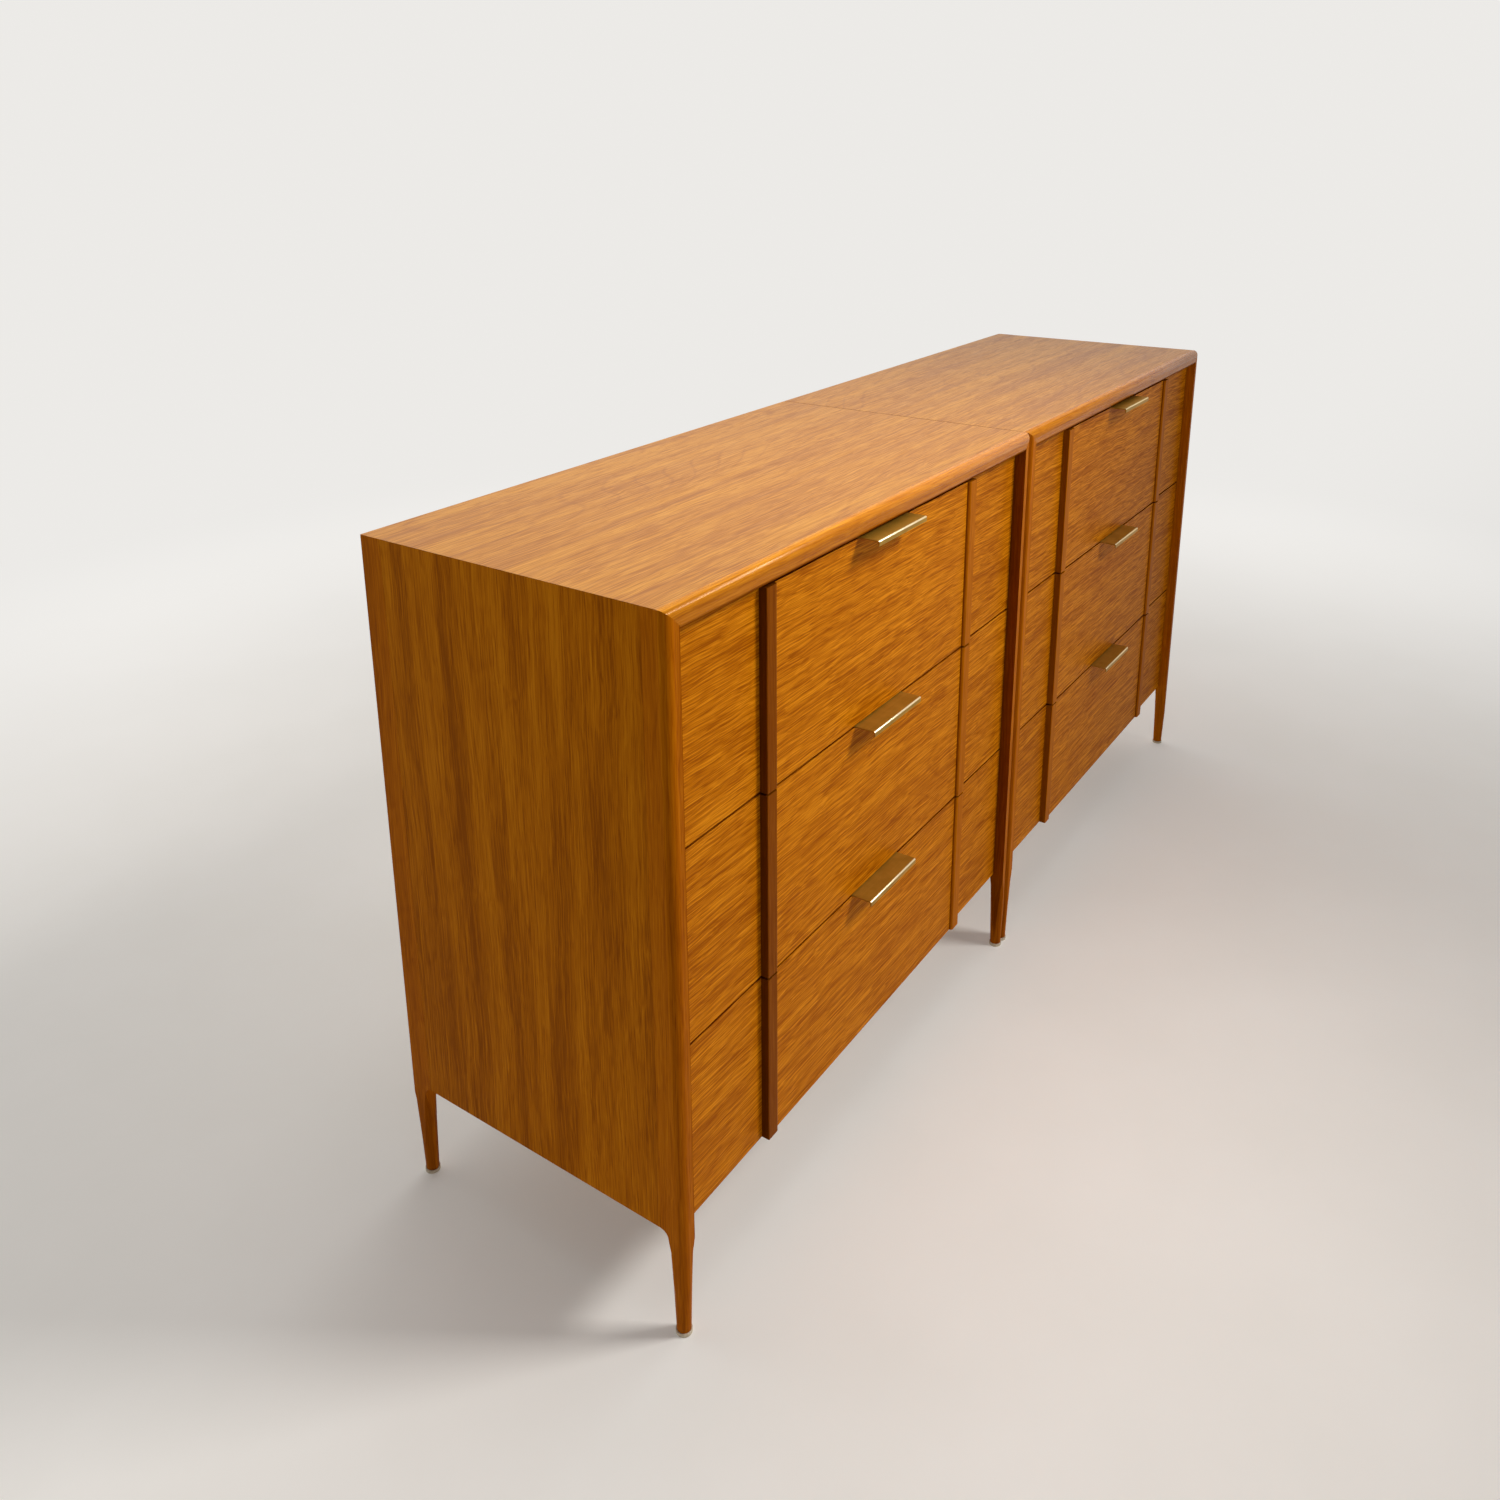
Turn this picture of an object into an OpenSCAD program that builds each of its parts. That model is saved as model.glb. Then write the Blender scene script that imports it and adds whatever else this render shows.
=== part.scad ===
// A long dresser made of two matching three-drawer cases that stand side by side.
// Each case is a mitred box of veneered boards between four one-piece stiles and legs.
// Inside, web frames carry wooden drawers with lipped metal pulls on their top edges.
// X runs along the front, Y from the front to the back, Z up from the floor.

/* [Case] */
// Width of one case
case_w = 914; // [760:2:1100]
// Depth of a case, from the stile faces to the back edge
case_d = 457; // [420:1:560]
// Height of the lower edges of the ends above the floor
underside_z = 147; // [130:1:180]
// Thickness of the ends and the top
board_t = 20; // [18:0.5:22]
// Height of the moulding along the front edge of the top
nosing_h = 26; // [24:0.5:32]
// Depth of that moulding
nosing_d = 14; // [13:0.5:18]
// Radius of the rounded front edges of the top and the stiles
edge_r = 12; // [4:0.5:12.5]
// Radius of the moulding's lower edge
under_r = 6; // [2:0.5:10]
// Thickness of the back board
back_t = 6; // [4:0.5:8]

/* [Legs] */
// Depth of a stile, front to back
stile_d = 34; // [30:1:44]
// Depth of a leg where it leaves the stile
leg_d = 23; // [21:0.5:25]
// Radius of a leg at the foot
foot_r = 8.8; // [7:0.2:9.4]
// Radius of the glide under a foot
glide_r = 10; // [9.6:0.2:12]
// Height of the glide
glide_h = 5; // [3:0.5:8]

/* [Drawers] */
// Height of the lower drawer's front
lower_h = 235; // [200:1:290]
// Height of the middle drawer's front
middle_h = 246; // [200:1:290]
// Height of the upper drawer's front
upper_h = 253; // [200:1:290]
// Gap between one drawer front and the next
front_gap = 3; // [2.8:0.1:4]
// Gap between the upper drawer's front and the moulding
head_gap = 6.5; // [5:0.5:10]
// Clearance between a drawer front and the stiles beside it
side_gap = 1.5; // [1:0.25:3]
// How far the drawer fronts sit back from the stile faces
front_recess = 17; // [16:0.5:20]
// Thickness of a drawer's front board
front_t = 18; // [16:0.5:20]
// Thickness of a drawer's sides and back
side_t = 12; // [10:0.5:14]

/* [Front panels] */
// Width of the raised panel in the middle of a front
centre_w = 502; // [400:2:560]
// How far the raised panel stands out from the front board
centre_t = 6.5; // [4:0.5:8]
// Width of the upright strip at each side of the raised panel
strip_w = 22; // [18:1:30]
// How far a strip stands out from the front board
strip_t = 11; // [9:0.5:12]
// Radius of a strip's front edge beside the raised panel
strip_r = 4; // [2:0.5:6]

/* [Pulls] */
// Width of a pull
pull_w = 127; // [80:1:200]
// How far a pull's lip stands out in front of the stile faces
pull_reach = 19; // [14:0.5:26]
// Thickness of the metal
pull_t = 1.8; // [1.4:0.1:2]
// How far the lip hangs down, measured from the top of the pull
lip_h = 7; // [6:0.5:14]

/* [Hidden] */
$fn = 64;
SIDES = ["left", "right"];
LEVELS = ["lower", "middle", "upper"];
CASE_PARTS = ["top_panel", "top_nosing", "outer_end", "inner_end", "front_outer_leg",
    "front_inner_leg", "back_outer_leg", "back_inner_leg", "back_panel", "bottom_panel",
    "web_rails", "runners", "foot_glides", "back_screws"];
DRAWER_PARTS = ["front", "centre_panel", "strips", "box", "pull"];
CASE_NODES = [for (side = SIDES) for (part = CASE_PARTS) str(side, "_", part)];
DRAWER_NODES = [for (side = SIDES) for (level = LEVELS) for (part = DRAWER_PARTS)
    str(side, "_", level, "_", part)];

// Woods and metals
TOP_WOOD = [0.80, 0.55, 0.30];
EDGE_WOOD = [0.72, 0.44, 0.18];
FRONT_WOOD = [0.68, 0.42, 0.15];
DARK_WOOD = [0.50, 0.27, 0.09];
PALE_WOOD = [0.82, 0.70, 0.52];
BOARD = [0.62, 0.50, 0.36];
BRASS = [0.72, 0.60, 0.36];
NYLON = [0.90, 0.86, 0.76];
STEEL = [0.66, 0.66, 0.68];

// Hairline between boards that are glued edge to edge inside one group
seam = 0.2;
// Overlap that lets a cut run clean past a face
past = 1;

// Case
half_w = case_w / 2;
inner_x = half_w - board_t;
origin_y = (case_d - pull_reach) / 2;
lower_drop = 4.5;
lower_z = underside_z - lower_drop;
FRONT_H = [lower_h, middle_h, upper_h];
FRONT_Z = [lower_z, lower_z + lower_h + front_gap, lower_z + lower_h + middle_h + 2 * front_gap];
case_h = FRONT_Z[2] + upper_h + head_gap + nosing_h;
ceiling_z = case_h - board_t;
back_inset = 2;
back_y = case_d - back_inset - back_t;

// Legs: the turned part is a stack of cones about an axis in the middle of the leg's top
axis_x = board_t / 2;
axis_y = leg_d / 2;
corner_reach = norm([axis_x, axis_y]);
fillet_r = stile_d - leg_d;
turn_top_z = underside_z - fillet_r;
shoulder_drop = 17;
shoulder_z = turn_top_z - shoulder_drop;
shoulder_swell = 4;
shoulder_r = foot_r + shoulder_swell;
knee_z = 67;
knee_swell = 1.9;
knee_r = foot_r + knee_swell;
back_edge_r = 2;

// Web frames
rail_t = 18;
rail_y = 37;
rail_d = 40;
back_rail_d = 19;
back_rail_y = back_y - back_rail_d;
runner_w = 30;
guide_w = 11.5;
guide_h = 15;
bottom_t = 6;
bottom_lift = 6;

// Drawer boxes
box_gap = 1;
box_lift = 0.5;
box_x = inner_x - guide_w - box_gap;
box_y = front_recess + front_t;
box_back_gap = 32;
box_back_y = case_d - box_back_gap;
box_drop = 12;
base_t = 6;
base_lift = 8;
stop_w = 40;
stop_lap = 8;
front_x = inner_x - side_gap;

// Strips and pulls
crisp_r = 1.2;
pull_lap = 13;
pull_back_y = front_recess + pull_lap;
pull_bend_r = 2.5;
screw_r = 1.7;
head_r = 3.5;
screw_fit = 0.05;
pull_screw_x = 45;
pull_screw_lap = 7;
pull_screw_y = front_recess + pull_screw_lap;
pull_screw_l = 16;

// Back screws and joining bolts
back_screw_r = 2;
back_screw_l = 18;
back_head_r = 4;
back_head_h = 1.5;
back_screw_count = 5;
bolt_r = 3;
bolt_head_r = 8;
bolt_head_h = 2.5;
bolt_ys = [90, 360];
bolt_rise = 130;

function rail_z(i) = FRONT_Z[i] + lower_drop;
function box_z(i) = rail_z(i) + rail_t + box_lift;
function box_top(i) = FRONT_Z[i] + FRONT_H[i] - box_drop;
function ledge_z(i) = i < 2 ? rail_z(i + 1) : ceiling_z - rail_t;

// A board given by its lowest and highest corners
module board(low, high) {
    translate(low) cube(high - low);
}

// A block with one rounded corner at the origin
module rounded_corner(w, h, r) {
    difference() {
        square([w, h]);
        difference() {
            translate([-past, -past]) square(r + past);
            translate([r, r]) circle(r);
        }
    }
}

// An outline in Y and Z drawn out along X
module along_x(x0, x1) {
    translate([x0, 0, 0]) rotate([90, 0, 90]) linear_extrude(x1 - x0) children();
}

// An outline in X and Z drawn out along Y
module along_y(y0, y1) {
    translate([0, y1, 0]) rotate([90, 0, 0]) linear_extrude(y1 - y0) children();
}

// Moves a part drawn about a case's middle into its place; the outer end is the outward one
module in_case(side) {
    if (side == "right") mirror([1, 0, 0]) in_case("left") children();
    else translate([-half_w, -origin_y, 0]) children();
}

// Repeats a part at the other end or at the back of a case
module to_inner() {
    mirror([1, 0, 0]) children();
}

module to_back() {
    translate([0, case_d, 0]) mirror([0, 1, 0]) children();
}

// ---- Case ----

// The top is mitred to the ends along its whole depth
module top_panel() {
    color(TOP_WOOD) along_y(nosing_d, case_d)
        polygon([[-half_w, case_h], [half_w, case_h], [inner_x, ceiling_z], [-inner_x, ceiling_z]]);
}

// The moulding in front of the top: rounded above and below, mitred into the stiles
module top_nosing() {
    low = case_h - nosing_h;
    color(EDGE_WOOD) intersection() {
        along_x(-half_w, half_w)
            translate([0, case_h]) mirror([0, 1]) rounded_corner(nosing_d, nosing_h, edge_r);
        along_x(-half_w, half_w) translate([0, low]) rounded_corner(nosing_d, nosing_h, under_r);
        along_y(-past, nosing_d + past)
            polygon([[-half_w, case_h], [half_w, case_h], [inner_x, ceiling_z], [inner_x, low],
                [-inner_x, low], [-inner_x, ceiling_z]]);
    }
}

// An end board between the front and the back stile
module end_panel() {
    color(FRONT_WOOD) along_y(stile_d, case_d - stile_d)
        polygon([[-half_w, underside_z], [-half_w, case_h], [-inner_x, ceiling_z],
            [-inner_x, underside_z]]);
}

// The turned part of a leg, wide enough above to leave the stile whole
module turned_leg() {
    reach = stile_d + board_t;
    translate([axis_x, axis_y, 0]) rotate_extrude()
        polygon([[0, glide_h], [foot_r, glide_h], [knee_r, knee_z], [shoulder_r, shoulder_z],
            [corner_reach, turn_top_z], [reach, turn_top_z], [reach, case_h], [0, case_h]]);
}

// The side outline of a stile and its leg, with the hollow fillet behind the leg
module stile_outline() {
    difference() {
        translate([0, glide_h]) square([stile_d, case_h - glide_h]);
        translate([leg_d, -past]) square([stile_d, turn_top_z + past]);
        translate([stile_d, turn_top_z]) circle(fillet_r);
    }
}

// Stile and leg in one piece, drawn at the front left corner
module stile_leg(corner_r) {
    color(EDGE_WOOD) translate([-half_w, 0, 0]) intersection() {
        along_x(0, board_t) stile_outline();
        linear_extrude(case_h) rounded_corner(board_t, stile_d, corner_r);
        along_y(-past, stile_d + past)
            polygon([[0, 0], [0, case_h], [board_t, ceiling_z], [board_t, 0]]);
        turned_leg();
    }
}

// The back board stands between the ends, under the top
module back_panel() {
    color(BOARD) board([-inner_x, back_y, underside_z], [inner_x, back_y + back_t, ceiling_z]);
}

// The dust board closes the lowest web frame
module bottom_panel() {
    edge_x = inner_x - runner_w;
    low = rail_z(0) + bottom_lift;
    color(BOARD) board([-edge_x, rail_y + rail_d, low], [edge_x, back_rail_y, low + bottom_t]);
}

// Front and back rails of the three web frames, and a pair under the top
module web_rails() {
    color(PALE_WOOD) for (z = [rail_z(0), rail_z(1), rail_z(2), ceiling_z - rail_t]) {
        board([-inner_x, rail_y, z], [inner_x, rail_y + rail_d, z + rail_t]);
        board([-inner_x, back_rail_y, z], [inner_x, back_y, z + rail_t]);
    }
}

// Runners that the drawers slide on, each with a guide strip beside the drawer
module runners() {
    color(PALE_WOOD) for (i = [0:2], flip = [0, 1]) mirror([flip, 0, 0]) {
        front = rail_y + rail_d;
        top = rail_z(i) + rail_t;
        board([inner_x - runner_w, front, rail_z(i)], [inner_x, back_rail_y, top]);
        board([inner_x - guide_w, front, top + seam], [inner_x, back_rail_y, top + guide_h]);
    }
}

// Round glides under the four feet
module foot_glides() {
    x = half_w - axis_x;
    color(NYLON) for (place = [[-x, axis_y], [x, axis_y], [-x, case_d - axis_y], [x, case_d - axis_y]])
        translate(place) cylinder(r = glide_r, h = glide_h);
}

// Screws that hold the back board to the back rails
module back_screws() {
    pitch = 2 * (inner_x - runner_w) / (back_screw_count - 1);
    first = -inner_x + runner_w;
    back = back_y + back_t;
    color(STEEL)
        for (z = [rail_z(0), rail_z(1), rail_z(2), ceiling_z - rail_t], i = [0:back_screw_count - 1])
            translate([first + i * pitch, back, z + rail_t / 2]) rotate([90, 0, 0]) {
                cylinder(r = back_screw_r, h = back_screw_l);
                translate([0, 0, -back_head_h]) cylinder(r = back_head_r, h = back_head_h);
            }
}

// Bolts with sleeve nuts that draw the two cases together
module joining_bolts() {
    color(STEEL) for (y = bolt_ys, i = [0, 2])
        translate([-board_t, y - origin_y, rail_z(i) + bolt_rise]) rotate([0, 90, 0]) {
            cylinder(r = bolt_r, h = 2 * board_t);
            translate([0, 0, -bolt_head_h]) cylinder(r = bolt_head_r, h = bolt_head_h);
            translate([0, 0, 2 * board_t]) cylinder(r = bolt_head_r, h = bolt_head_h);
        }
}

// ---- Drawers, numbered from the bottom ----

// The front board carries everything that shows
module drawer_front(i) {
    color(FRONT_WOOD) board([-front_x, front_recess, FRONT_Z[i]],
        [front_x, front_recess + front_t, FRONT_Z[i] + FRONT_H[i]]);
}

// The raised panel in the middle of the front
module drawer_centre_panel(i) {
    color(FRONT_WOOD) board([-centre_w / 2, front_recess - centre_t, FRONT_Z[i]],
        [centre_w / 2, front_recess, FRONT_Z[i] + FRONT_H[i]]);
}

// The two upright strips, crisp on the outside and rounded towards the raised panel
module drawer_strips(i) {
    color(DARK_WOOD) for (flip = [0, 1]) mirror([flip, 0, 0])
        translate([centre_w / 2, front_recess - strip_t, FRONT_Z[i]])
            linear_extrude(FRONT_H[i]) intersection() {
                rounded_corner(strip_w, strip_t, strip_r);
                translate([strip_w, 0]) mirror([1, 0]) rounded_corner(strip_w, strip_t, crisp_r);
            }
}

// Sides, back, base and the stop block that catches behind the front rail
module drawer_box(i) {
    low = box_z(i);
    high = box_top(i);
    inside = box_x - side_t;
    back = box_back_y - side_t;
    base = low + base_lift;
    color(PALE_WOOD) {
        for (flip = [0, 1]) mirror([flip, 0, 0])
            board([inside, box_y, low], [box_x, box_back_y, high]);
        board([-inside + seam, back, low], [inside - seam, box_back_y, high]);
        board([-inside + seam, box_y + seam, base], [inside - seam, back - seam, base + base_t]);
        board([-stop_w / 2, back, high + seam], [stop_w / 2, box_back_y, ledge_z(i) + stop_lap]);
    }
}

// A cone-headed wood screw standing head up, its head flush at the origin
module flush_screw(l, grow) {
    translate([0, 0, -pull_t]) cylinder(r1 = screw_r + grow, r2 = head_r + grow, h = pull_t);
    translate([0, 0, -l]) cylinder(r = screw_r + grow, h = l - pull_t / 2);
}

// The pull is a bent plate on the top edge of the front, held by two screws
module drawer_pull(i) {
    top = FRONT_Z[i] + FRONT_H[i] + pull_t;
    color(BRASS) {
        difference() {
            along_x(-pull_w / 2, pull_w / 2) translate([-pull_reach, top]) mirror([0, 1]) difference() {
                rounded_corner(pull_back_y + pull_reach, lip_h, pull_bend_r);
                translate([pull_t, pull_t]) square([pull_back_y + pull_reach, lip_h]);
            }
            for (x = [-pull_screw_x, pull_screw_x])
                translate([x, pull_screw_y, top]) flush_screw(pull_screw_l, screw_fit);
        }
        for (x = [-pull_screw_x, pull_screw_x])
            translate([x, pull_screw_y, top]) flush_screw(pull_screw_l, 0);
    }
}

// ---- Nodes ----

for (side = SIDES) {
    in_case(side) top_panel();
    in_case(side) top_nosing();
    in_case(side) end_panel();
    in_case(side) to_inner() end_panel();
    in_case(side) stile_leg(edge_r);
    in_case(side) to_inner() stile_leg(edge_r);
    in_case(side) to_back() stile_leg(back_edge_r);
    in_case(side) to_inner() to_back() stile_leg(back_edge_r);
    in_case(side) back_panel();
    in_case(side) bottom_panel();
    in_case(side) web_rails();
    in_case(side) runners();
    in_case(side) foot_glides();
    in_case(side) back_screws();
}
joining_bolts();
for (side = SIDES, i = [0:2]) {
    drawer = str(side, "_", LEVELS[i]);
    in_case(side) drawer_front(i);
    in_case(side) drawer_centre_panel(i);
    in_case(side) drawer_strips(i);
    in_case(side) drawer_box(i);
    in_case(side) drawer_pull(i);
}
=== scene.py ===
"""The looks of a long dresser: woods, brass, nylon, studio light and the camera."""

import math

import bpy
from mathutils import Matrix, Vector


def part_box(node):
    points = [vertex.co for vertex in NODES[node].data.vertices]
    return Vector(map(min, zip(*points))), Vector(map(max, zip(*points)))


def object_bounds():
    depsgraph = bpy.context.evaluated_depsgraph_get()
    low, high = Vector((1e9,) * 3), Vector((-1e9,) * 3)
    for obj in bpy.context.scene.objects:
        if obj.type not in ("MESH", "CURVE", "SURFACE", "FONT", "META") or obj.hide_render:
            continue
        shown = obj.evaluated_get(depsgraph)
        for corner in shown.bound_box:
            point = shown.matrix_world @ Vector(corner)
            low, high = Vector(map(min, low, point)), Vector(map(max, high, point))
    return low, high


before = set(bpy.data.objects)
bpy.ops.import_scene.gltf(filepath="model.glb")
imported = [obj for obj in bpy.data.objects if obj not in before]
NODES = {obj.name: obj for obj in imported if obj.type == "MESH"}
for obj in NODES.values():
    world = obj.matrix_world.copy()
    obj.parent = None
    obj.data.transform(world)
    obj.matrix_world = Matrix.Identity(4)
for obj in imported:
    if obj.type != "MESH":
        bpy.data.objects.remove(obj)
CAD_LOW, CAD_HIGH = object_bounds()
CENTRE = (CAD_LOW + CAD_HIGH) / 2
SIDES = ("left", "right")
LEVELS = ("lower", "middle", "upper")
MM = 0.001

END_LOW, END_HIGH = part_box("left_outer_end")
HALF_CASE = (CAD_HIGH.x - CAD_LOW.x) / 4
INSIDE = HALF_CASE - (END_HIGH.x - END_LOW.x)
UNDERSIDE = END_LOW.z
LEFT_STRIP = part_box("left_upper_strips")[0].x

# ---- Camera ----

CAMERA_AT = Vector((-1.805, -0.934, 1.359))
HEADING = math.radians(55.36)
PITCH = math.radians(-16.08)
ROLL = math.radians(-0.45)
LENS = 30.07
SENSOR = 36
SHIFT_Y = -0.168
CLIP_START = 0.05


def add_camera():
    """Stands at the left of the front, at eye height, looking down along the fronts."""
    data = bpy.data.cameras.new("camera")
    data.lens = LENS
    data.sensor_width = SENSOR
    data.shift_y = SHIFT_Y
    data.clip_start = CLIP_START
    camera = bpy.data.objects.new("camera", data)
    turn = Matrix.Rotation(-HEADING, 4, "Z") @ Matrix.Rotation(math.pi / 2 + PITCH, 4, "X")
    camera.matrix_world = Matrix.Translation(CAMERA_AT) @ turn @ Matrix.Rotation(ROLL, 4, "Z")
    bpy.context.scene.collection.objects.link(camera)
    bpy.context.scene.camera = camera


# ---- Node helpers ----


class Graph:
    """A short way to write the nodes of a material or of the world."""

    def __init__(self, owner):
        owner.use_nodes = True
        self.owner = owner
        self.tree = owner.node_tree

    def add(self, kind, inputs=None, **settings):
        made = self.tree.nodes.new(kind)
        for key, value in settings.items():
            setattr(made, key, value)
        for key, value in (inputs or {}).items():
            self.put(made.inputs[key], value)
        return made

    def put(self, socket, value):
        if isinstance(value, bpy.types.NodeSocket):
            self.tree.links.new(value, socket)
        else:
            socket.default_value = value

    def surface(self, **inputs):
        """Sets the shader's own sockets; an underscore stands for a space."""
        shader = self.tree.nodes["Principled BSDF"]
        for key, value in inputs.items():
            self.put(shader.inputs[key.replace("_", " ")], value)

    def place(self, source="Object"):
        """Where a point is; a node's own coordinates are the frame's."""
        return self.add("ShaderNodeTexCoord").outputs[source]

    def split(self, vector):
        """The X, Y and Z of a vector."""
        return self.add("ShaderNodeSeparateXYZ", {0: vector}).outputs

    def normal(self):
        """The X, Y and Z of the way a face looks."""
        return self.split(self.add("ShaderNodeNewGeometry").outputs["Normal"])

    def math(self, kind, a, b=0.0):
        return self.add("ShaderNodeMath", {0: a, 1: b}, operation=kind).outputs[0]

    def vector(self, kind, a, b):
        return self.add("ShaderNodeVectorMath", {0: a, 1: b}, operation=kind).outputs[0]

    def dot(self, a, b):
        made = self.add("ShaderNodeVectorMath", {0: a, 1: b}, operation="DOT_PRODUCT")
        return made.outputs["Value"]

    def noise(self, at, scale, detail=2.0, rough=0.5, output="Fac"):
        made = self.add("ShaderNodeTexNoise", {
            "Vector": at, "Scale": scale, "Detail": detail, "Roughness": rough})
        return made.outputs[output]

    def span(self, value, low, high, out_low=0.0, out_high=1.0, smooth=False):
        """Spreads low to high over out_low to out_high, held at both ends."""
        made = self.add("ShaderNodeMapRange", {
            "Value": value, "From Min": low, "From Max": high,
            "To Min": out_low, "To Max": out_high})
        made.interpolation_type = "SMOOTHSTEP" if smooth else "LINEAR"
        return made.outputs["Result"]

    def ramp(self, value, stops):
        made = self.add("ShaderNodeValToRGB", {"Fac": value})
        ramp = made.color_ramp
        while len(ramp.elements) < len(stops):
            ramp.elements.new(0.5)
        for element, (position, colour) in zip(ramp.elements, stops):
            element.position = position
            element.color = (*colour, 1)
        return made.outputs["Color"]

    def mix(self, amount, a, b, kind="MIX"):
        made = self.add("ShaderNodeMix", data_type="RGBA", blend_type=kind)
        self.put(made.inputs["Factor"], amount)
        for socket, value in ((made.inputs[6], a), (made.inputs[7], b)):
            self.put(socket, (*value, 1) if isinstance(value, tuple) else value)
        return made.outputs[2]

    def tinted(self, mask, colour, tint):
        """The colour, multiplied by the tint where the mask is 1."""
        return self.mix(mask, colour, self.mix(1.0, colour, tint, kind="MULTIPLY"))

    def bump(self, height, depth, strength):
        made = self.add("ShaderNodeBump", {
            "Height": height, "Distance": depth, "Strength": strength})
        return made.outputs["Normal"]


def new_look(name):
    return Graph(bpy.data.materials.new(name))


def srgb(red, green, blue):
    """A colour from 0-255 screen values to the linear ones that Blender works in."""
    def linear(value):
        value /= 255
        return value / 12.92 if value <= 0.04045 else ((value + 0.055) / 1.055) ** 2.4
    return tuple(map(linear, (red, green, blue)))


# ---- Wood ----

GRAIN_AXES = {"x": 0, "y": 1, "z": 2}
# What a seed moves the pattern by along X, Y and Z, and where each move starts again
SEED_STEPS = (1.37, 2.91, 0.73)
SEED_WRAPS = (7, 5, 3)
# Two bends of the grain: how far it is squeezed along the grain, its scale and its reach
BENDS = ((0.3, 6.0, 0.022), (0.5, 34.0, 0.0045))
# The layers of the figure: a smaller stretch draws a layer out further along the grain
FIELD = dict(stretch=0.22, scale=3.6, detail=1.0, rough=0.35)
BAND = dict(stretch=0.05, scale=34.0, detail=2.5, rough=0.55)
DASH = dict(stretch=0.022, scale=620.0, detail=2.0, rough=0.65)
FIBRE = dict(stretch=0.01, scale=440.0, detail=2.0, rough=0.6)
PORE = dict(stretch=0.045, scale=620.0, detail=1.0, rough=0.5)
LINE_COUNT = 105.0
LINE_WIDTH = 0.34
PORE_SPAN = (0.55, 0.68)
DASH_SPAN = (0.3, 0.7)
# How much each layer at full strength adds to the tone or takes from it
BAND_SHARE = 1.7
DASH_SHARE = 2.3
FIBRE_SHARE = 1.5
LINE_SHARE = 0.30
PORE_SHARE = 0.26
PORE_DEPTH = 0.7
RELIEF = 0.06 * MM
RELIEF_STRENGTH = 0.4
LACQUER = (1.0, 0.72, 0.42, 1)


def wood(name, grain, dark, mid, light, seed, figure=0.5, bands=0.5, dashes=0.5, rough=0.42,
         gloss=0.02, shade=None, tint=(0.5, 0.4, 0.5), light_and_tone=None, light_and_tone_tint=(0.64, 0.56, 0.5)):
    """Lacquered wood whose grain runs along one axis of the frame.

    The grain "box" runs along Y on faces that look sideways and along X on all others, like
    the boards of a drawer. figure is the strength of the thin growth lines, bands of the broad
    soft stripes and dashes of the short fine streaks. shade, if given, paints shade: it tints
    the wood and dulls it where its mask is 1. The second mask and its tint only tint the wood;
    they carry painted highlights, painted shade and darker tones.
    """
    g = new_look(name)
    if grain == "box":
        facing = g.split(g.place("Normal"))
        sideways = g.math("GREATER_THAN", g.math("ABSOLUTE", facing["X"]), 0.6)

    def stretched(amount, at):
        if grain == "box":
            along = {
                "X": g.span(sideways, 0.0, 1.0, amount, 1.0),
                "Y": g.span(sideways, 0.0, 1.0, 1.0, amount),
                "Z": 1.0}
            return g.vector("MULTIPLY", at, g.add("ShaderNodeCombineXYZ", along).outputs[0])
        scale = [1.0, 1.0, 1.0]
        scale[GRAIN_AXES[grain]] = amount
        return g.vector("MULTIPLY", at, tuple(scale))

    def layer(stretch, **pattern):
        return g.noise(stretched(stretch, place), **pattern)

    def centred(value, strength):
        return g.math("MULTIPLY", g.math("SUBTRACT", value, 0.5), strength)

    moves = tuple(seed * step % wrap for step, wrap in zip(SEED_STEPS, SEED_WRAPS))
    start = g.vector("ADD", g.place(), moves)
    place = start
    for stretch, scale, reach in BENDS:
        bend = g.noise(stretched(stretch, start), scale, detail=1.0, output="Color")
        bend = g.vector("SUBTRACT", bend, (0.5, 0.5, 0.5))
        place = g.vector("ADD", place, g.vector("MULTIPLY", bend, (reach, reach, reach)))

    line = g.math("ABSOLUTE", g.math("SINE", g.math("MULTIPLY", layer(**FIELD), LINE_COUNT)))
    line = g.span(line, 0.0, LINE_WIDTH, 1.0, 0.0, smooth=True)
    dash = layer(**DASH)
    pore = g.span(layer(**PORE), *PORE_SPAN, smooth=True)

    tone = g.math("ADD", centred(layer(**BAND), BAND_SHARE * bands), 0.5)
    tone = g.math("ADD", tone, centred(dash, DASH_SHARE * dashes))
    tone = g.math("ADD", tone, centred(layer(**FIBRE), FIBRE_SHARE * dashes))
    tone = g.math("SUBTRACT", tone, g.math("MULTIPLY", line, LINE_SHARE * figure))
    tone = g.math("SUBTRACT", tone, g.math("MULTIPLY", pore, PORE_SHARE * dashes))
    colour = g.ramp(tone, ((0.1, dark), (0.5, mid), (0.9, light)))
    # Second tint: painted highlights, painted shade and darker tones, by the mask given.
    if light_and_tone is not None:
        colour = g.tinted(light_and_tone(g), colour, light_and_tone_tint)
    # Painted shade: darker and duller where the mask is 1.
    if shade is not None:
        mask = shade(g)
        colour = g.tinted(mask, colour, tint)
        gloss = g.span(mask, 0.0, 1.0, gloss, 0.0)
    relief = g.math("SUBTRACT", dash, g.math("MULTIPLY", pore, PORE_DEPTH))
    g.surface(
        Base_Color=colour,
        Roughness=g.span(dash, *DASH_SPAN, rough + 0.06, rough - 0.05),
        Normal=g.bump(relief, RELIEF, RELIEF_STRENGTH),
        Specular_IOR_Level=gloss,
        Specular_Tint=LACQUER)
    return g.owner


# ---- Masks for shade and stain ----

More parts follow.
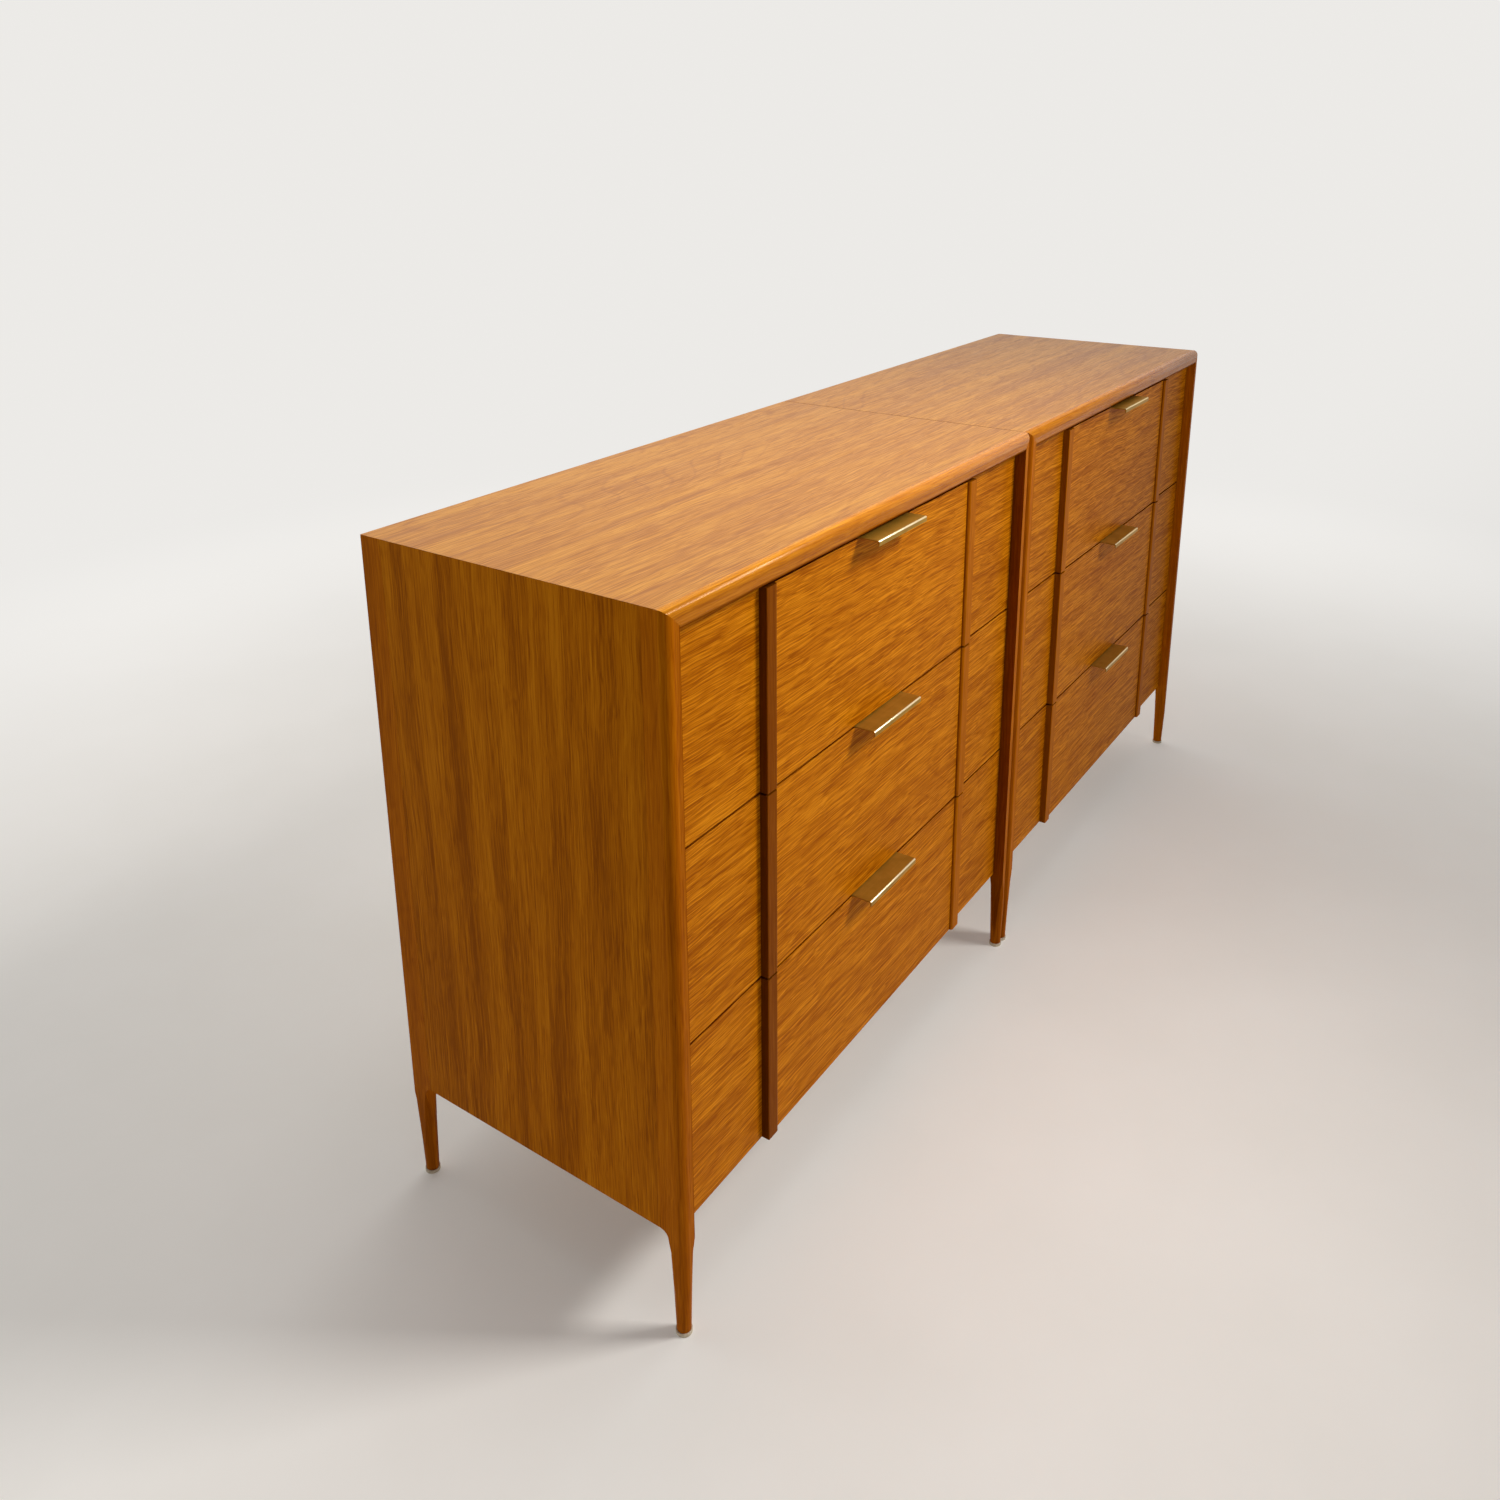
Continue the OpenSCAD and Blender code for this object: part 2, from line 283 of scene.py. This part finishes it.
# How much darker a leg is towards its foot, and how strong the painted shade is on the whole
# front of a stile and on its rounded corner
LEG_DARKENING = 0.3
FRONT_SHADE = 0.5
CORNER_SHADE = 0.9


def inner_face_shade(middle):
    """A mask for the sides of the stiles that look into the case whose middle is at x = middle;
    they get painted shade.
    """
    def mask(g):
        away = g.math("ABSOLUTE", g.math("SUBTRACT", g.split(g.place())["X"], middle))
        return g.span(away, INSIDE + 0.2 * MM, INSIDE + 1.2 * MM, 1.0, 0.0)
    return mask


def stile_shade_and_darkening(where):
    """A mask for a stile's leg, darker towards its foot, and for painted shade on its whole
    "front" or its rounded "corner" if asked.
    """
    def mask(g):
        height = g.split(g.place())["Z"]
        leg = g.span(height, UNDERSIDE - 42 * MM, UNDERSIDE + 3 * MM, LEG_DARKENING, 0.0, smooth=True)
        if where == "leg":
            return leg
        normal = g.normal()
        if where == "front":
            front = g.span(normal["Y"], -0.4, -0.05, FRONT_SHADE, 0.0)
        else:
            turn = g.math("ABSOLUTE", g.math("MULTIPLY", normal["X"], normal["Y"]))
            front = g.span(turn, 0.05, 0.4, 0.0, CORNER_SHADE)
        return g.math("MAXIMUM", leg, front)
    return mask


def left_strip(g):
    """A mask for the strips nearest to the left end, which are coloured darker."""
    return g.span(g.split(g.place())["X"], LEFT_STRIP + 40 * MM, LEFT_STRIP + 50 * MM, 1.0, 0.0)


def underside_shade(g):
    """A mask for a moulding's lower half, full where it looks downwards; it gets painted shade."""
    return g.span(g.normal()["Z"], -0.5, 0.35, 1.0, 0.0, smooth=True)


def seam_shade(g):
    """A mask for the arrises of a top that meet its neighbour and the ends; they get painted shade."""
    return g.span(g.math("ABSOLUTE", g.normal()["X"]), 0.1, 0.35, 0.0, 1.0)


def edge_highlight(g):
    """A mask for the upper edge of a moulding, where a highlight is painted paler."""
    return g.span(g.normal()["Z"], 0.72, 0.94, 0.0, 1.0, smooth=True)


def edge_face_shade(g):
    """A mask for the faces of a drawer's front pieces that don't look forwards or backwards;
    these get painted shade, in the gaps between drawers and on the strips' sides.
    """
    return g.span(g.math("ABSOLUTE", g.normal()["Y"]), 0.1, 0.5, 1.0, 0.0)


# ---- Woods of the dresser ----

TOP = dict(dark=srgb(176, 102, 10), mid=srgb(205, 130, 20), light=srgb(226, 153, 35))
EDGE = dict(dark=srgb(168, 88, 4), mid=srgb(204, 122, 14), light=srgb(224, 144, 30))
FRONT = dict(dark=srgb(154, 79, 0), mid=srgb(192, 110, 4), light=srgb(220, 137, 18))
END = dict(dark=srgb(150, 78, 0), mid=srgb(186, 105, 1), light=srgb(208, 126, 10))
STILE = dict(dark=srgb(152, 76, 0), mid=srgb(184, 100, 1), light=srgb(206, 122, 8))
STRIP = dict(dark=srgb(148, 74, 0), mid=srgb(178, 98, 3), light=srgb(202, 120, 12))
FRAME = dict(dark=srgb(176, 138, 88), mid=srgb(206, 172, 120), light=srgb(222, 192, 146))
# Dark brown for the web rails, which show only in the gaps between drawers: painted shade.
RAIL_GAP_SHADE = dict(dark=srgb(64, 34, 12), mid=srgb(92, 52, 20), light=srgb(112, 66, 28))
BACK = dict(dark=srgb(120, 88, 54), mid=srgb(158, 122, 82), light=srgb(178, 142, 100))

TOP_LOOK = dict(
    grain="x", figure=0.5, bands=0.7, dashes=0.75, rough=0.38, gloss=0.55,
    # The seams and end arrises get painted shade.
    shade=seam_shade, tint=(0.4, 0.34, 0.3), **TOP)
MOULDING_LOOK = dict(
    grain="x", figure=0.3, dashes=0.5, rough=0.24, gloss=0.2,
    # The underside gets painted shade: darker and duller.
    shade=underside_shade, tint=(0.5, 0.4, 0.4),
    # The upper edge gets a painted highlight.
    light_and_tone=edge_highlight, light_and_tone_tint=(1.25, 1.35, 2.2), **EDGE)
END_LOOK = dict(grain="z", figure=0.25, bands=0.8, dashes=0.6, **END)
STILE_LOOK = dict(grain="z", figure=0.2, bands=0.4, dashes=0.45, **STILE)
FRONT_LOOK = dict(
    grain="x", figure=0.3, bands=0.42, dashes=0.9,
    # The edges in the gaps between drawers get painted shade.
    shade=edge_face_shade, tint=(0.38, 0.29, 0.36), **FRONT)
STRIP_LOOK = dict(
    grain="z", figure=0.1, bands=0.3, dashes=0.35,
    # The strips' sides get painted shade.
    shade=edge_face_shade, tint=(0.62, 0.64, 0.7),
    light_and_tone=left_strip, light_and_tone_tint=(0.48, 0.42, 0.3), **STRIP)
BOX_LOOK = dict(grain="box", figure=0.2, rough=0.55, **FRAME)
RUNNER_LOOK = dict(grain="y", rough=0.5, **FRAME)
RAIL_LOOK = dict(grain="x", rough=0.6, **RAIL_GAP_SHADE)
BACK_LOOK = dict(grain="x", figure=0.25, rough=0.6, **BACK)


# ---- Brass, nylon and steel ----


def brass():
    """Antique brass, brushed along the pull, dulled in patches, with a painted highlight on its bend.
    """
    g = new_look("pull_brass")
    place = g.place()
    brushed = g.noise(g.vector("MULTIPLY", place, (0.02, 1.0, 1.0)), 900.0)
    patches = g.noise(place, 45.0)
    shine = g.math("ADD", g.math("MULTIPLY", brushed, 0.3), g.math("MULTIPLY", patches, 0.7))
    normal = g.normal()
    slope = g.math("ABSOLUTE", g.math("MULTIPLY", normal["Y"], normal["Z"]))
    bend_highlight = g.span(slope, 0.12, 0.4, smooth=True)
    aged = g.ramp(shine, ((0.3, srgb(158, 116, 34)), (0.7, srgb(182, 138, 50))))
    g.surface(
        # Painted highlight on the bend: pale and fully metallic.
        Base_Color=g.mix(bend_highlight, aged, srgb(255, 236, 196)),
        Metallic=g.span(bend_highlight, 0.0, 1.0, 0.5, 1.0),
        Roughness=g.span(shine, 0.3, 0.7, 0.42, 0.34),
        Normal=g.bump(brushed, 0.004 * MM, 0.1),
        Specular_Tint=(1.0, 0.84, 0.55, 1))
    return g.owner


def nylon():
    """Pale scuffed nylon for the glides."""
    g = new_look("glide_nylon")
    scuffs = g.noise(g.place(), 380.0, detail=4.0, rough=0.65)
    g.surface(
        Base_Color=g.ramp(scuffs, ((0.3, srgb(188, 172, 146)), (0.65, srgb(220, 206, 182)))),
        Roughness=g.span(scuffs, 0.3, 0.7, 0.62, 0.42),
        Normal=g.bump(scuffs, 0.05 * MM, 0.4))
    return g.owner


def zinc():
    """Zinc-plated steel for screws and bolts."""
    g = new_look("screw_steel")
    spangle = g.noise(g.place(), 900.0, detail=3.0, rough=0.6)
    g.surface(
        Base_Color=g.ramp(spangle, ((0.3, srgb(150, 150, 154)), (0.7, srgb(196, 196, 198)))),
        Roughness=g.span(spangle, 0.3, 0.7, 0.45, 0.3),
        Metallic=1.0)
    return g.owner


# ---- Dressing the CAD nodes ----

WELD = 0.01 * MM
ARRIS_STEPS = 2
ARRIS_ANGLE = math.radians(30)
# Widths of the rounded arrises, from crisp veneered boards to well-handled solid wood
CRISP = 0.4 * MM
PLANED = 0.5 * MM
EASED = 0.6 * MM
SEAM = 0.7 * MM
SOFT = 0.8 * MM
METAL = 0.25 * MM


def soften(piece, width):
    """Joins the mesh's split corners and rounds its arrises by a hair."""
    weld = piece.modifiers.new("weld", "WELD")
    weld.merge_threshold = WELD
    bevel = piece.modifiers.new("arris", "BEVEL")
    bevel.width = width
    bevel.segments = ARRIS_STEPS
    bevel.limit_method = "ANGLE"
    bevel.angle_limit = ARRIS_ANGLE
    bevel.harden_normals = False


def dress(node, material, arris=0.0):
    piece = NODES[node]
    piece.data.materials.clear()
    piece.data.materials.append(material)
    if arris:
        soften(piece, arris)


def stile_masks(side, place, row, middle):
    """The painted shade and the darkening of a stile; the right end's stands in the light."""
    if (side, place) == ("right", "outer"):
        return dict(light_and_tone=stile_shade_and_darkening("leg"))
    where = "front" if (place, row) == ("outer", "front") else "corner"
    return dict(shade=inner_face_shade(middle), light_and_tone=stile_shade_and_darkening(where))


def dress_case(side, seed):
    middle = CENTRE.x + (-HALF_CASE if side == "left" else HALF_CASE)
    dress(f"{side}_top_panel", wood(f"{side}_top_veneer", seed=seed, **TOP_LOOK), SEAM)
    dress(f"{side}_top_nosing", wood(f"{side}_moulding", seed=seed + 1, **MOULDING_LOOK), CRISP)
    for place, step in (("outer", 2), ("inner", 3)):
        veneer = wood(f"{side}_{place}_end_veneer", seed=seed + step, **END_LOOK)
        dress(f"{side}_{place}_end", veneer, CRISP)
        for row, more in (("front", 3), ("back", 5)):
            masks = stile_masks(side, place, row, middle)
            solid = wood(f"{side}_{row}_{place}_stile", seed=seed + step + more, **STILE_LOOK, **masks)
            dress(f"{side}_{row}_{place}_leg", solid, EASED)
    dress(f"{side}_web_rails", wood(f"{side}_rail_wood", seed=seed + 9, **RAIL_LOOK), PLANED)
    dress(f"{side}_runners", wood(f"{side}_runner_wood", seed=seed + 10, **RUNNER_LOOK), PLANED)
    board = wood(f"{side}_back_board", seed=seed + 11, **BACK_LOOK)
    dress(f"{side}_back_panel", board, CRISP)
    dress(f"{side}_bottom_panel", board)
    dress(f"{side}_foot_glides", NYLON, SOFT)
    dress(f"{side}_back_screws", ZINC)


def dress_drawer(side, level, seed):
    drawer = f"{side}_{level}"
    dress(f"{drawer}_front", wood(f"{drawer}_front_veneer", seed=seed, **FRONT_LOOK), PLANED)
    centre = wood(f"{drawer}_centre_veneer", seed=seed + 1, **FRONT_LOOK)
    dress(f"{drawer}_centre_panel", centre, PLANED)
    dress(f"{drawer}_strips", wood(f"{drawer}_strip_wood", seed=seed + 2, **STRIP_LOOK), SOFT)
    dress(f"{drawer}_box", wood(f"{drawer}_box_wood", seed=seed + 3, **BOX_LOOK), SOFT)
    dress(f"{drawer}_pull", BRASS, METAL)


# ---- Studio ----

BACKDROP = (0.84, 0.825, 0.80)
LAMP = (1.0, 0.98, 0.95)
# The backdrop is brightest towards this direction and dims across the span away from it
BRIGHT_SIDE = (0.70, 0.70, 0.1)
SKY_SPAN = (-0.2, 0.75)
# Least brightness at the horizon, and above the height where the horizon's glow ends
SKYLINE = 0.62
SIDE_SKY = 0.10
SKYLINE_TOP = 0.3
# The floor: its size, its fade from lit to glowing, and its own glow nearest the dresser
FLOOR_SIZE = 120
FLOOR_GAP = 0.2 * MM
FLOOR_FADE = (1.1, 3.4)
FADE_POWER = 1.6
NEAR_GLOW = 0.27


def add_floor():
    """A wide plain floor with a faint mottle that fades into the backdrop far away."""
    bpy.ops.mesh.primitive_plane_add(
        size=FLOOR_SIZE, location=(CENTRE.x, CENTRE.y, CAD_LOW.z - FLOOR_GAP))
    floor = bpy.context.object
    floor.name = "studio_floor"
    g = new_look("studio_floor")
    place = g.place()
    mottle = g.noise(place, 3.0, detail=5.0, rough=0.6)
    pale = g.ramp(mottle, ((0.3, srgb(236, 233, 228)), (0.7, srgb(242, 239, 235))))
    away = g.add("ShaderNodeVectorMath", {0: place}, operation="LENGTH").outputs["Value"]
    near = g.span(away, *FLOOR_FADE, 1.0, 0.0, smooth=True)
    towards = g.add("ShaderNodeVectorMath", {0: place}, operation="NORMALIZE").outputs["Vector"]
    glow = g.span(g.dot(towards, BRIGHT_SIDE), *SKY_SPAN, SKYLINE, 1.0, smooth=True)
    share = g.span(g.math("POWER", near, FADE_POWER), 0.0, 1.0, 1.0, NEAR_GLOW)
    g.surface(
        Base_Color=g.mix(near, (0.0, 0.0, 0.0), pale),
        Emission_Color=(*BACKDROP, 1),
        Emission_Strength=g.math("MULTIPLY", glow, share),
        Roughness=g.span(mottle, 0.3, 0.7, 0.75, 0.85),
        Specular_IOR_Level=0.0)
    floor.data.materials.append(g.owner)


def add_sky():
    """Soft room light: a pale backdrop behind the dresser, dimmer towards its left end and front."""
    world = bpy.data.worlds.new("studio_sky")
    bpy.context.scene.world = world
    g = Graph(world)
    direction = g.place("Generated")
    least = g.span(g.split(direction)["Z"], 0.0, SKYLINE_TOP, SKYLINE, SIDE_SKY)
    strength = g.span(g.dot(direction, BRIGHT_SIDE), *SKY_SPAN, least, 1.0, smooth=True)
    background = g.tree.nodes["Background"]
    g.put(background.inputs["Color"], (*BACKDROP, 1))
    g.put(background.inputs["Strength"], strength)


def add_area(name, at, aim, size, power, spread):
    data = bpy.data.lights.new(name, "AREA")
    data.shape = "RECTANGLE"
    data.size, data.size_y = size
    data.energy = power
    data.color = LAMP
    data.spread = math.radians(spread)
    lamp = bpy.data.objects.new(name, data)
    lamp.location = at
    lamp.rotation_euler = (Vector(aim) - Vector(at)).to_track_quat("-Z", "Y").to_euler()
    bpy.context.scene.collection.objects.link(lamp)


# ---- Build ----

add_camera()
BRASS = brass()
NYLON = nylon()
ZINC = zinc()
for number, side in enumerate(SIDES):
    dress_case(side, 20 * number + 1)
    for row, level in enumerate(LEVELS):
        dress_drawer(side, level, 100 + 30 * number + 7 * row)
dress("joining_bolts", ZINC)
add_floor()
add_sky()
add_area("key", at=(0.7, -2.05, 2.7), aim=(-0.75, 0, 0.7), size=(0.8, 0.8), power=8.6, spread=60)
add_area("overhead", at=(-0.1, 0.1, 2.8), aim=(0, 0, 0.9), size=(2.4, 1.2), power=7.0, spread=120)
bpy.context.scene.view_settings.view_transform = "Standard"

bpy.context.view_layer.update()
